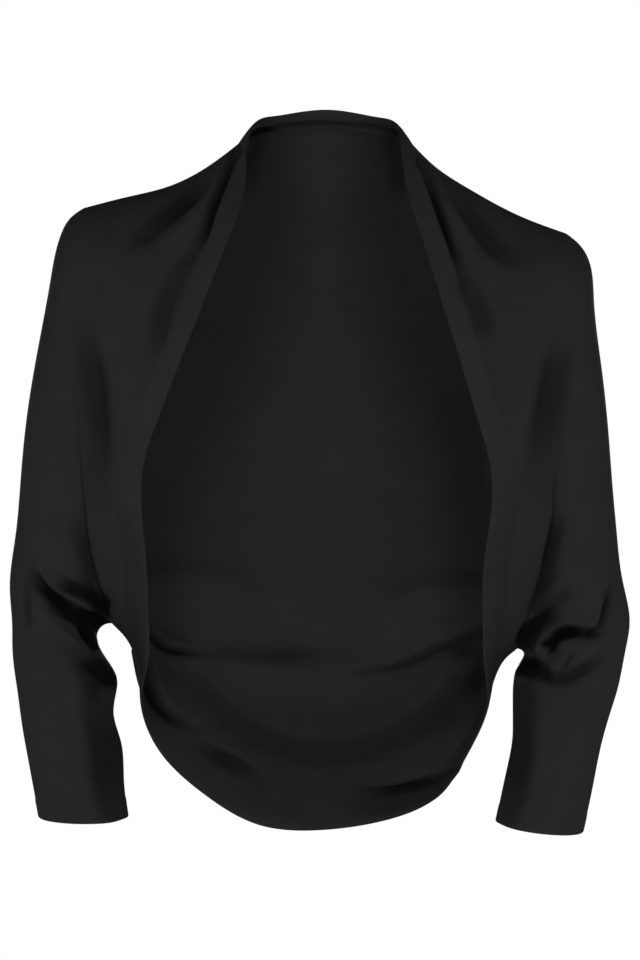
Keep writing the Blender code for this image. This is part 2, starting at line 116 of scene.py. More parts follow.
Armhole = namedtuple("Armhole", "name front_y back_y right left")
ARMHOLE = (
    Armhole("shoulder point", 0, 0, (-207, -51), (212, -73)),
    Armhole("cap", -36, 38, (-207, -71), (210, -92)),
    Armhole("high", -56, 58, (-206, -120), (207, -140)),
    Armhole("middle", -62, 64, (-205, -190), (202, -205)),
    Armhole("low", -60, 62, (-205, -258), (199, -268)),
    Armhole("bend", -52, 55, (-205, -318), (200, -320)),
    Armhole("under", -32, 34, (-196, -371), (186, -380)),
    Armhole("underarm", 0, 0, (-183, -411), (170, -433)),
)

Point = namedtuple("Point", "x y z")
WAIST = (
    Point(-152, 38, -417), Point(-124, 54, -431), Point(-62, 68, -441), Point(0, 72, -448),
    Point(60, 68, -447), Point(108, 54, -437), Point(140, 38, -427),
)

Spine = namedtuple("Spine", "z y")
SPINE = (
    Spine(-448, 72), Spine(-400, 83), Spine(-350, 97), Spine(-290, 109), Spine(-210, 116),
    Spine(-130, 114), Spine(-60, 102), Spine(-10, 83), Spine(21, 66),
)
print("rows down the armhole:", len(ARMHOLE))

# %% [markdown]
# A sleeve is a row of ovals. Each row says where the oval meets the outer and the inner outline, its middle
# in depth, half its depth, how full it is (2 is an ellipse, more is squarer) and how far its front hangs
# below its back.

# %% The sleeve sections
Section = namedtuple("Section", "name r_outer r_inner l_outer l_inner middle_y depth full hang")
SLEEVE = (
    Section("armhole", (-207, -51), (-183, -411), (212, -73), (170, -433), 0, 62, 2.5, 0),
    Section("shoulder", (-219.5, -60.5), (-184.9, -411.2), (223, -82), (171.2, -433.4), 0, 62, 2.5, 0),
    Section("cap", (-226, -72), (-186.8, -411.5), (230, -92), (172.5, -433.8), 0, 63, 2.5, 0),
    Section("upper arm", (-236, -115), (-190.5, -413), (236, -130), (174.6, -435.2), 0, 63, 2.5, 0),
    Section("arm middle", (-247, -175), (-193.5, -415.5), (242.5, -188), (176, -437.3), 0, 61, 2.5, 0),
    Section("arm low", (-256, -230), (-195.5, -419), (248, -238), (176, -440), 0, 58, 2.4, 0),
    Section("above elbow", (-261.5, -285), (-196.3, -423), (252, -290), (174.8, -443), -1, 54, 2.3, 0),
    Section("bend", (-266, -335), (-195.5, -428), (256, -335), (172.6, -446.5), -3, 49, 2.2, 0),
    Section("elbow", (-271, -380), (-193, -434.5), (261, -375), (170, -451), -5, 46, 2.1, 0),
    Section("below elbow", (-269, -410), (-188, -442.5), (267, -410), (168, -456), -8, 43, 2.0, 0),
    Section("forearm top", (-268.5, -436), (-181.5, -452.5), (263.5, -434), (166.8, -464), -11, 42, 2.0, 0),
    Section("forearm", (-264.5, -468), (-178.6, -467), (257, -466), (166.3, -478), -15, 41, 2.0, 1),
    Section("forearm middle", (-260.5, -497), (-181.5, -491), (249, -492), (166.3, -497), -19, 40, 2.0, 2),
    Section("forearm low", (-256.5, -520), (-175, -515), (241.5, -519), (165.5, -515), -23, 40, 2.0, 3),
    Section("above cuff", (-251, -549), (-172.5, -547), (235, -551), (159.5, -545), -28, 39, 2.0, 4),
    Section("cuff", (-245.3, -579), (-168.8, -579), (226, -592), (151.4, -583), -33, 38, 2.0, 6),
)
print("sleeve sections:", len(SLEEVE))

# %% [markdown]
# ## The folds
#
# Cloth that hangs from the shoulders and bunches at the elbow makes grooves and ridges. They could come from
# a cloth simulation, but these folds are known from the photograph, so each one is drawn as a curve on the
# front view, in millimetres across and up. "Left" and "right" are the fold's breadth on either hand when
# walking along the curve. Rise is outward where positive, and begin and finish are the shares of it left at
# the two ends. Shade is how far painted shadow darkens the knit's colour at the bottom of the fold, where
# shade falls. A fold without a rise is only such a painted soft shadow. Lap is how far the lip on the narrow
# side is pushed over the groove.

# %% Folds of the fronts
Fold = namedtuple("Fold", "path left right rise begin finish shade lap", defaults=(0, 0))
FRONT_FOLDS = (
    Fold(((-72, 0), (-80, -17), (-87, -34), (-95, -54), (-101, -73), (-109, -88), (-117, -98)),
         4.5, 8, -10, 0.7, 0.2, 0.75, 0.8),
    Fold(((-83, -8), (-101, -42), (-126, -76), (-144, -98)), 7, 7, 4, 0.6, 0),
    Fold(((-95, -14), (-104, -33), (-120, -48), (-138, -62), (-154, -77)), 7, 14, -8, 0.1, 0.6, 0.65),
    Fold(((-117, -98), (-130, -121), (-139, -148), (-142, -186)), 8, 12, -5, 0.6, 0, 0.38),
    Fold(((-200, -46), (-165, -38), (-133, -31), (-100, -17)), 9, 9, 0, 0.3, 0.3, 0.16),
    Fold(((84, -10), (91, -24), (97, -40), (104, -60), (111, -80), (117, -97), (124, -117)),
         7, 4.5, -10, 0.5, 0.2, 0.8, 0.8),
    Fold(((96, -17), (109, -44), (122, -64), (139, -83)), 6, 6, 4, 0.6, 0),
    Fold(((106, -24), (122, -52), (139, -73), (156, -90), (189, -95)), 14, 8, -7, 0.3, 0.1, 0.5),
    Fold(((124, -117), (136, -140), (142, -173)), 12, 8, -5, 0.6, 0, 0.4),
    Fold(((-209, -128), (-206, -157), (-199, -196), (-195, -230), (-193, -265), (-193, -305)),
         12, 12, -8, 0, 0.2, 0.45),
    Fold(((208, -145), (207, -160), (202, -190), (197, -216), (190, -250), (182, -285)),
         14, 12, -8, 0, 0.2, 0.45),
    Fold(((-207, -300), (-205, -322), (-201, -350), (-195, -373), (-184, -407)), 2, 15, 0, 0, 0.9, 0.5),
    Fold(((205, -300), (200, -322), (195, -344), (191, -367), (185, -391)), 14, 2.5, 0, 0, 0.8, 0.65),
)
print("folds of the fronts:", len(FRONT_FOLDS))

# %% Folds at the elbows and down the forearms
RIGHT_ELBOW = (
    Fold(((-254, -353), (-249, -365), (-241, -377), (-229, -387), (-218, -394), (-204, -401), (-191, -407)),
         3.5, 13, -13, 0.05, 1, 1, 1.5),
    Fold(((-232, -397), (-220, -404), (-206, -410), (-196, -414)), 7, 7, 0, 0.5, 1, 1),
    Fold(((-207, -412), (-202, -420), (-195, -430)), 9, 6, -8, 0.5, 1, 1),
    Fold(((-234, -370), (-219, -380), (-205, -386), (-191, -396)), 8, 6, -6, 0, 1, 0.8),
    Fold(((-202, -376), (-195, -386), (-187, -398)), 2, 10, 0, 0.2, 1, 0.9),
    Fold(((-244, -395), (-226, -418), (-211, -431), (-196, -441), (-180, -454)), 4, 3.5, 5, 0, 0.7),
    Fold(((-204, -434), (-191, -444), (-178, -457)), 3, 14, -7, 0.2, 1, 0.95, 0.3),
    Fold(((-214, -434), (-203, -447), (-193, -466)), 7, 13, -3, 0.2, 0.8, 0.5),
    Fold(((-193, -476), (-186, -510), (-182, -545), (-174, -579)), 20, 20, -6, 0.6, 0.6, 0.6),
    Fold(((-259, -375), (-258, -394), (-256, -412), (-257, -424)), 5, 3, -4, 0.3, 0, 0.4),
)
LEFT_ELBOW = (
    Fold(((182, -398), (198, -381), (215, -366)), 3, 3, 4, 0.8, 0),
    Fold(((190, -404), (205, -389), (222, -376)), 5, 10, 0, 0.8, 0, 0.35),
    Fold(((172, -428), (181, -411), (191, -403), (212, -397)), 3.5, 13, -6, 1, 0, 0.8),
    Fold(((172, -420), (179, -410), (190, -402)), 2, 12, 0, 1, 0.2, 0.75),
    Fold(((188, -434), (195, -421), (203, -413)), 4, 4, 6, 1, 0.2),
    Fold(((196, -430), (201, -419), (211, -415), (225, -416), (237, -418)), 3.5, 9, -12, 1, 0.45, 1, 1.5),
    Fold(((234, -418), (241, -411), (245, -398), (248, -386), (251, -373)), 3, 6, -6, 0.9, 0.2, 0.6, 0.6),
    Fold(((196, -429), (208, -423), (222, -420), (233, -419)), 6, 5, -3, 1, 0.3, 1),
    Fold(((174, -446), (183, -449), (198, -458), (215, -457), (229, -450), (242, -441), (256, -429)),
         7, 6, -7, 1, 0.1, 0.5),
    Fold(((168, -446), (178, -449), (188, -452)), 11, 12, -3, 1, 0.6, 1),
    Fold(((207, -453), (214, -443), (221, -434)), 3, 3, -2, 0.5, 0, 0.35),
    Fold(((172, -475), (170, -510), (166, -545), (156, -583)), 16, 16, -5, 0.8, 0.5, 0.55),
)
print("folds at the right and the left elbow:", len(RIGHT_ELBOW), len(LEFT_ELBOW))

# %% Swags inside the back, and folds of the back view
SWAGS = (
    Fold(((-151, -415), (-145, -423), (-137, -431), (-124, -435), (-102, -437)), 3, 5, 9, 1, 0.1, 1, 1),
    Fold(((-105, -437), (-37, -438), (20, -436)), 7, 8, 3, 0.5, 0, 0.3),
    Fold(((139, -417), (111, -428), (94, -435), (68, -446), (37, -452), (10, -457)), 7, 2.5, 4, 0.9, 0, 0.45),
    Fold(((133, -433), (111, -437)), 8, 6, 4, 0.6, 0.2, 0.4),
    Fold(((-154, -435), (-150, -455), (-144, -472), (-134, -487), (-119, -498), (-104, -504)),
         4, 9, 11, 1, 0.1, 1, 1.5),
    Fold(((-116, -510), (-90, -524), (-70, -534), (-48, -550)), 4, 12, 5, 0, 0.2, 0.55),
    Fold(((-119, -457), (-93, -478), (-67, -500), (-37, -515), (-2, -522), (37, -518), (68, -505),
          (94, -487), (116, -465)), 9, 19, 5, 0.7, 1, 0.33),
    Fold(((141, -440), (134, -457), (124, -472)), 9, 9, 6, 0.6, 0.2, 0.5),
    Fold(((95, -500), (125, -480)), 16, 16, 3, 0.6, 0.6, 0.2),
    Fold(((24, -553), (50, -556), (77, -551), (98, -545), (114, -538)), 2.5, 7, 3, 0, 0.6, 0.8),
    Fold(((10, -562), (50, -566), (96, -555)), 12, 14, 2, 0, 0.8, 0.3),
    Fold(((-130, -470), (-60, -502), (0, -512), (60, -502), (130, -470)), 45, 45, 0, 0.6, 1, 0.2),
    Fold(((112, -160), (128, -220), (137, -290), (137, -360)), 6, 34, 0, 0.3, 0.3, 0.25),
    Fold(((-95, -545), (-40, -562), (20, -566), (90, -550)), 30, 25, 2, 0.3, 0.6, 0.2),
    Fold(((-64, 14), (-52, 17), (-28, 23), (-2, 25), (24, 24), (50, 20), (66, 14)), 2, 3.5, 4, 1, 0.8, 0.6),
    Fold(((-64, 13), (-52, 17), (-36, 21)), 2, 4, 3, 1, 0, 1),
    Fold(((-46, 1), (0, 7), (52, 0)), 8, 8, -5, 0.2, 0.2),
    Fold(((-60, 8), (-64, -8), (-66, -40)), 11, 3, 3, 1, 0, 0.45),
    Fold(((66, 8), (69, -10), (70, -50)), 3, 14, 3, 1, 0, 0.4),
)
BACK_FOLDS = (
    Fold(((-60, -40), (-100, -150), (-150, -250)), 20, 20, -6, 0.2, 0.1, 0.2),
    Fold(((60, -40), (105, -160), (150, -260)), 20, 20, -6, 0.2, 0.1, 0.2),
    Fold(((-252, -352), (-230, -388), (-206, -402)), 4, 11, -10, 0.2, 0.8, 0.8, 1.5),
    Fold(((248, -374), (222, -406), (196, -418)), 11, 4, -10, 0.2, 0.8, 0.8, 1.5),
    Fold(((-240, -410), (-220, -430), (-196, -440)), 6, 6, 4, 0, 0.6),
    Fold(((240, -430), (220, -444), (190, -450)), 6, 6, 4, 0, 0.6),
    Fold(((-232, -438), (-210, -452), (-186, -458)), 4, 10, -8, 0.1, 0.8, 0.7, 1),
    Fold(((232, -452), (210, -462), (176, -466)), 10, 4, -8, 0.1, 0.8, 0.7, 1),
    Fold(((-204, -150), (-196, -230), (-190, -320)), 16, 16, -7, 0, 0.3, 0.4),
    Fold(((206, -170), (196, -240), (184, -330)), 16, 16, -7, 0, 0.3, 0.4),
    Fold(((-186, -380), (-120, -372), (-40, -392)), 12, 16, -6, 0.5, 0, 0.3),
    Fold(((176, -396), (110, -384), (40, -400)), 16, 12, -6, 0.5, 0, 0.3),
)
FOLDS = [("front", fold) for fold in FRONT_FOLDS + RIGHT_ELBOW + LEFT_ELBOW]
FOLDS += [("inside", fold) for fold in SWAGS] + [("back", fold) for fold in BACK_FOLDS]
print("folds in all:", len(FOLDS))

# %% [markdown]
# ## Smooth lines and how finely they are walked
#
# A seam lies smoothly, so its points are joined by a curve whose direction and bend both run on without a
# step. Blender's own Bezier handles could do it, but here the same few lines serve seams, sections and
# folds alike. Two stations close to each seam let the cloth turn in there.

# %% Lines and stations
CURVE_STEPS = 24
FRONT_STEPS, BACK_STEPS, SHOULDER_STEPS, NECK_STEPS = 120, 90, 66, 50
CROWD = 0.45
SOLID_SHOULDER, SOLID_NECK = 10, 8
TOWARDS_NECK = 1.35
SEAM_TURN = 1.0


def smooth_line(points, closed=False):
    """Dense points on the smooth curve through the given ones, CURVE_STEPS to a span."""
    knots = np.asarray(points, dtype=float)
    if closed:
        knots = np.vstack([knots, knots[:1]])
    count = len(knots)
    span = np.linalg.norm(np.diff(knots, axis=0), axis=1)
    slope = np.diff(knots, axis=0) / span[:, None]
    matrix = np.zeros((count, count))
    wanted = np.zeros_like(knots)
    for i in range(1, count - 1):
        matrix[i, i - 1:i + 2] = span[i], 2 * (span[i - 1] + span[i]), span[i - 1]
        wanted[i] = 3 * (span[i] * slope[i - 1] + span[i - 1] * slope[i])
    if closed:
        matrix[0, 0], matrix[0, 1], matrix[0, -2] = 2 * (span[-1] + span[0]), span[-1], span[0]
        wanted[0] = 3 * (span[0] * slope[-1] + span[-1] * slope[0])
        matrix[-1, 0], matrix[-1, -1] = -1, 1
    else:
        matrix[0, :2], wanted[0] = (2, 1), 3 * slope[0]
        matrix[-1, -2:], wanted[-1] = (1, 2), 3 * slope[-1]
    tangent = np.linalg.solve(matrix, wanted)
    t = np.linspace(0, 1, CURVE_STEPS, endpoint=False)[:, None]
    spans = []
    for i in range(count - 1):
        start, end = knots[i], knots[i + 1]
        pull_start, pull_end = span[i] * tangent[i], span[i] * tangent[i + 1]
        spans.append((2 * t**3 - 3 * t**2 + 1) * start + (t**3 - 2 * t**2 + t) * pull_start
                     + (3 * t**2 - 2 * t**3) * end + (t**3 - t**2) * pull_end)
    return np.vstack(spans + [knots[-1:]])


def line_length(line):
    """How far along the line each of its points is."""
    return np.concatenate([[0], np.cumsum(np.linalg.norm(np.diff(line, axis=0), axis=1))])


def at_shares(line, shares):
    """The line's points at the given shares of its length."""
    length = line_length(line)
    return np.stack([np.interp(np.asarray(shares) * length[-1], length, column) for column in line.T], axis=1)


def with_seams(shares, long):
    """The shares and one more close to each end, SEAM_TURN from a seam on a line that long."""
    turn = SEAM_TURN / long
    return np.sort(np.append(shares, (turn, 1 - turn)))


def towards_underarm(count):
    """Shares down an armhole, closer together towards the underarm, where the cloth bunches."""
    even = np.linspace(0, 1, count + 1)
    return with_seams((1 - CROWD) * even + CROWD * (1 - (1 - even) ** 2), ARM_LONG)


ARM_LONG, SHOULDER_LONG = 420, 150
down_front, down_back = towards_underarm(FRONT_STEPS), towards_underarm(BACK_STEPS)
from_neck = with_seams(np.linspace(0, 1, SHOULDER_STEPS + 1), SHOULDER_LONG)
shoulder_shares = from_neck ** TOWARDS_NECK
round_neck = np.linspace(0, 1, NECK_STEPS + 1)
print("stations down an armhole, over a shoulder:", len(down_front), len(from_neck))

# %% [markdown]
# The back is as wide as two shoulders and the neck. Its stations across have to fall where the fronts' and
# the neck band's do, so that the seams meet point to point.

# %% Stations across the back, and the lines of the opening
solid_steps = 2 * SOLID_SHOULDER + SOLID_NECK
across_back = np.concatenate([
    SOLID_SHOULDER * (1 - from_neck[::-1]),
    SOLID_SHOULDER + SOLID_NECK * round_neck[1:-1],
    SOLID_SHOULDER + SOLID_NECK + SOLID_SHOULDER * from_neck,
]) / solid_steps


def stretch(line, first, last, shares):
    """The stretch of a smooth line between two of its table rows, at those shares."""
    return at_shares(line[first * CURVE_STEPS:last * CURVE_STEPS + 1], shares)


def opening_lines(part):
    """The band's seam or its fold, in four stretches, from the wearer's right or from the top."""
    halves = {}
    for hand in ("r_", "l_"):
        places = [(getattr(row, hand + part), getattr(row, part + "_y")) for row in OPENING]
        halves[hand] = [(x, y, z) for (x, z), y in places]
    line = smooth_line(halves["r_"] + halves["l_"][-2:0:-1], closed=True)
    names = [row.name for row in OPENING]
    shoulder, side, last = names.index("shoulder"), names.index("side"), 2 * (len(OPENING) - 1)
    half_neck = np.linspace(0, 1, NECK_STEPS // 2 + 1)
    neck_left = stretch(line, last - shoulder, last, half_neck)
    neck_right = stretch(line, 0, shoulder, half_neck)
    return {
        "neck": np.vstack([neck_left, neck_right[1:]])[::-1],
        "front_right": stretch(line, shoulder, side, down_front),
        "front_left": stretch(line, last - side, last - shoulder, 1 - down_front[::-1])[::-1],
        "hem": stretch(line, side, last - side, across_back),
    }


seam, edge = opening_lines("seam"), opening_lines("edge")
print("length of the opening, m:", round(sum(line_length(line)[-1] for line in edge.values()) * MM, 2))

# %% [markdown]
# ## Sheets for the fronts and the back
#
# A sheet stretched between four seam lines is a Coons patch: it adds the sheet drawn top to bottom to the
# sheet drawn side to side, and takes the corners away once. The back is then rounded like a torso down to
# the waist crease, and below it the cloth swags straight to the hem.

# %% Coons patch, fronts and back
BODY_SIDE, BODY_ROUND, BODY_BLEND = 0.08, 1.2, 0.15
NECK_EASE, EASE_ROUNDS = 0.12, 60
WAIST_ROWS, WAIST_SIDE = 14, 0.1


def coons(top, bottom, first, last, across, down):
    """A sheet stretched between four lines; first and last run down its two sides."""
    across, down = across[None, :, None], down[:, None, None]
    sheet = (1 - down) * top[None] + down * bottom[None]
    sheet = sheet + (1 - across) * first[:, None] + across * last[:, None]
    corners = (1 - across) * (1 - down) * top[0] + across * (1 - down) * top[-1]
    return sheet - corners - (1 - across) * down * bottom[0] - across * down * bottom[-1]


def smooth_step(value):
    """0 to 1 with soft ends."""
    value = np.clip(value, 0, 1)
    return value * value * (3 - 2 * value)


def armhole_halves(side):
    """The armhole's front and back lines, from the shoulder point to the underarm."""
    places = [getattr(row, side) for row in ARMHOLE]
    front = [(place[0], row.front_y, place[1]) for place, row in zip(places, ARMHOLE)]
    back = [(place[0], row.back_y, place[1]) for place, row in zip(places, ARMHOLE)]
    loop = smooth_line(front + back[-2:0:-1], closed=True)
    last = len(ARMHOLE) - 1
    return stretch(loop, 0, last, down_front), stretch(loop, last, 2 * last, 1 - down_back[::-1])[::-1]


def shoulder_seam(side, neck_point, shoulder_point):
    """From the neck to the shoulder point, denser towards the neck, where the folds start."""
    middle = [(getattr(row, side)[0], 0, getattr(row, side)[1]) for row in RIDGE]
    return at_shares(smooth_line([neck_point] + middle + [shoulder_point]), shoulder_shares)


def even_out(sheet, ease):
    """Draw the points of each column towards an even curve, by as much as ease allows at each."""
    for _ in range(EASE_ROUNDS):
        level = (sheet[:-2] + sheet[2:]) / 2
        sheet[1:-1] += ease[1:-1] * (level - sheet[1:-1]) / 2


def back_sheet(top, hem, right_arm, left_arm):
    """The back, rounded like a torso down to the waist crease, then straight across to the hem."""
    waist = at_shares(smooth_line([right_arm[-1], *WAIST, left_arm[-1]]), across_back)
    sheet = coons(top, waist, right_arm, left_arm, across_back, down_back)
    middle_y = np.interp(sheet[:, :, 2], [row.z for row in SPINE], [row.y for row in SPINE])
    side_y = (right_arm[:, 1] + left_arm[:, 1])[:, None] / 2
    from_side = np.minimum(across_back, 1 - across_back)
    body = np.sin(math.pi / 2 * np.clip((from_side - BODY_SIDE) / (0.5 - BODY_SIDE), 0, 1)) ** BODY_ROUND
    wanted = side_y + (middle_y - side_y) * body[None]
    share = smooth_step(down_back / BODY_BLEND) * smooth_step((1 - down_back) / BODY_BLEND)
    share = share[:, None] * smooth_step(from_side / BODY_BLEND)[None]
    sheet[:, :, 1] += share * (wanted - sheet[:, :, 1])
    below_neck, off_side = smooth_step(down_back / NECK_EASE), smooth_step(from_side / BODY_SIDE)
    even_out(np.swapaxes(sheet, 0, 1), (below_neck[None] * off_side[:, None])[:, :, None])
    below = 1 - shoulder_shares[-2::-1, None, None]
    sheet = np.vstack([sheet, (1 - below) * waist[None] + below * hem[None]])
    near_waist = smooth_step(1 - np.abs(np.arange(len(sheet)) - len(down_back)) / WAIST_ROWS)
    off_side = smooth_step((from_side - WAIST_SIDE) / WAIST_SIDE)
    even_out(sheet, (near_waist[:, None] * off_side[None])[:, :, None])
    return sheet


fronts, shoulders, front_arms, back_arms = {}, {}, {}, {}
for side in ("right", "left"):
    front_arms[side], back_arms[side] = armhole_halves(side)
    front_seam = seam["front_" + side]
    shoulders[side] = shoulder_seam(side, front_seam[0], front_arms[side][0])
    side_seam = at_shares(np.stack([front_seam[-1], front_arms[side][-1]]), shoulder_shares)
    borders = (shoulders[side], side_seam, front_seam, front_arms[side])
    fronts[side] = coons(*borders, shoulder_shares, down_front)
back_top = np.vstack([shoulders["right"][::-1], seam["neck"][1:-1], shoulders["left"]])
back = back_sheet(back_top, seam["hem"], back_arms["right"], back_arms["left"])
print("points in a front and in the back:", fronts["right"].shape[:2], back.shape[:2])

# %% [markdown]
# ## Sheets for the sleeves and the bands
#
# Each sleeve is a loft through its oval sections, which begins on the armhole's own line and forgets that
# line's shape by the elbow. The band is a strip from its seam to its fold. It is doubled cloth, so later it
# gets a thicker, rounded wall that closes on itself at the fold.

# %% Sleeves and bands
BAND_ROWS, BAND_WIDE = 12, 20
OVAL_POINTS = 193
RING_PLAN = (("armhole", 50), ("above elbow", 130), ("forearm middle", 40))


def half_ring(outer, inner, middle_y, depth, full, hang, shares):
    """Half an oval from the outer to the inner outline; a negative depth is its front half."""
    angle = np.linspace(0, math.pi, OVAL_POINTS)
    along = np.sign(np.cos(angle)) * np.abs(np.cos(angle)) ** (2 / full)
    out = np.sin(angle).clip(0) ** (2 / full)
    middle, half = (outer + inner) / 2, (outer - inner) / 2
    x = middle[0] + half[0] * along
    z = middle[1] + half[1] * along + hang * out * np.sign(depth)
    return at_shares(np.stack([x, middle_y + depth * out, z], axis=1), shares)


def closed_ring(front, back_half):
    return np.vstack([front, back_half[-2:0:-1], front[:1]])


def sleeve_sheet(side):
    """Rings from the armhole to the cuff, closest together over the elbow's creases."""
    rows = []
    for row in SLEEVE:
        outer, inner = (row.r_outer, row.r_inner) if side == "right" else (row.l_outer, row.l_inner)
        rows.append((*outer, *inner, row.middle_y, row.depth, row.full, row.hang))
    line = smooth_line(rows)
    travel = (line_length(line[:, :2]) + line_length(line[:, 2:4])) / 2
    names = [row.name for row in SLEEVE]
    starts = [travel[names.index(name) * CURVE_STEPS] for name, _ in RING_PLAN] + [travel[-1]]
    planned = np.concatenate([[0], np.cumsum([count for _, count in RING_PLAN])])
    even = np.interp(np.arange(planned[-1] + 1), planned, starts) / travel[-1]
    places = np.interp(with_seams(even, travel[-1]) * travel[-1], travel, np.arange(len(line)))
    elbow = names.index("elbow") * CURVE_STEPS
    rings = []
    for place in places:
        values = [np.interp(place, np.arange(len(line)), column) for column in line.T]
        outer, inner, (middle_y, depth, full, hang) = np.array(values[:2]), np.array(values[2:4]), values[4:]
        ring = closed_ring(half_ring(outer, inner, middle_y, -depth, full, hang, down_front),
                           half_ring(outer, inner, middle_y, depth, full, hang, down_back))
        if place == 0:
            difference = closed_ring(front_arms[side], back_arms[side]) - ring
        rings.append(ring + max(0.0, 1 - place / elbow) ** 2 * difference)
    return np.stack(rings)


seam_share = SEAM_TURN / BAND_WIDE
towards_fold = np.sin(np.linspace(0, math.pi / 2, BAND_ROWS))
band_shares = np.append(0, seam_share + (1 - seam_share) * towards_fold)


def band_sheet(seam_line, edge_line):
    """A strip from the seam line to the folded edge, closer together at the fold."""
    share = band_shares[None, :, None]
    return seam_line[:, None] * (1 - share) + edge_line[:, None] * share


sleeves = {side: sleeve_sheet(side) for side in ("right", "left")}
print("points in a sleeve:", sleeves["right"].shape[:2])

# %% [markdown]
# ## The pieces
#
# Each piece is a small record: its points, whether it faces the other way, which borders are sewn, and how
# thick its cloth is on either side of the sheet. The real jersey is about a millimetre thick. At a seam
# both cloths turn inward. A band swells to its doubled thickness, bulges a little and is round at its fold,
# and the cuff has a turned hem, where the wall is thicker, with a rounded end.

# %% Describe every piece
HALF_CLOTH, HALF_BAND = 0.6, 1.3
SWELL_SHARE, ROUND_START, BAND_CROWN = 0.7, 0.8, 0.5
TURN_IN = 0.05
HEM_DEPTH, HEM_STEP, HEM_THICKER = 16, 1.5, 0.45
CUFF_END = 0.45


def new_piece(name, grid, turned, seams, tube=False):
    return {"name": name, "grid": grid, "turned": turned, "seams": seams, "tube": tube}


pieces = []
for side, is_left in (("right", False), ("left", True)):
    front_band = band_sheet(seam["front_" + side], edge["front_" + side])
    pieces += [
        new_piece("front_" + side, fronts[side], is_left, ("top", "bottom", "first", "last")),
        new_piece("sleeve_" + side, sleeves[side], not is_left, ("top",), tube=True),
        new_piece("front_band_" + side, front_band, not is_left, ("top", "bottom", "first")),
    ]
neck = np.swapaxes(band_sheet(seam["neck"], edge["neck"])[:, ::-1], 0, 1)
hem = np.swapaxes(band_sheet(seam["hem"], edge["hem"]), 0, 1)
pieces.append(new_piece("back", back, False, ("top", "bottom", "first", "last")))
pieces.append(new_piece("neck_band", neck, False, ("bottom", "first", "last")))
pieces.append(new_piece("hem_band", hem, False, ("top", "first", "last")))
print("pieces:", ", ".join(piece["name"] for piece in pieces))

# %% [markdown]
# ## Normals that agree across seams
#
# A wall is made by moving points along their normals, and a fold by moving them along the same normals. If
# each piece used only its own faces, two neighbours would part at the seam. So the face normals round each
# place are added up over all the pieces that meet there.

# %% Shared normals
SAME_PLACE = 0.01


def grid_normals(grid, turned, tube):
    """The sum of the face normals round each point of a sheet."""
    across, down = np.diff(grid, axis=1), np.diff(grid, axis=0)
    face = np.cross((across[:-1] + across[1:]) / 2, (down[:, :-1] + down[:, 1:]) / 2)
    face = -face if turned else face
    total = np.zeros_like(grid)
    for rows in (slice(0, -1), slice(1, None)):
        for columns in (slice(0, -1), slice(1, None)):
            total[rows, columns] += face
    if tube:
        total[:, 0] += total[:, -1]
        total[:, -1] = 0
    return total


def share_normals():
    """Unit normals, the same for the pieces that meet at a seam point."""
    places = np.vstack([piece["grid"].reshape(-1, 3) for piece in pieces])
    totals = [grid_normals(piece["grid"], piece["turned"], piece["tube"]).reshape(-1, 3) for piece in pieces]
    keys = np.round(places / SAME_PLACE).astype(np.int64)
    unique, index = np.unique(keys, axis=0, return_inverse=True)
    index = index.reshape(-1)
    summed = np.zeros((len(unique), 3))
    np.add.at(summed, index, np.vstack(totals))
    normals = summed[index] / np.linalg.norm(summed[index], axis=1)[:, None]
    for piece, part in zip(pieces, np.split(normals, np.cumsum([len(total) for total in totals])[:-1])):
        piece["normal"] = part.reshape(piece["grid"].shape)


share_normals()
print("points with a normal:", sum(piece["normal"].shape[0] * piece["normal"].shape[1] for piece in pieces))

# %% [markdown]
# ## Pressing the folds in
#
# Each fold is a bell-shaped groove or ridge round its curve, steeper on its narrow side. Where the cloth
# laps, the lip on the narrow side is also pushed over the groove, which gives the black lines that a plain
# bump map can't give. A fold only moves cloth that faces its own side, its painted shadow reaches a little
# further round, and the cloth is left in peace close to the underarm, where four seams meet. The darker a
# fold's painted shadow is, the crisper its edge.

# %% Shape of one fold, then all of them
REACH = 3.2
END_FADE = 0.45
LIP_PLACE, LIP_BREADTH, LIP_RISE = 1.5, 1.1, 0.25
FACING_START, FACING_END = 0.1, 0.5
SHADE_START, SHADE_END = -0.35, 0.05
UNDERARM_CALM = 12


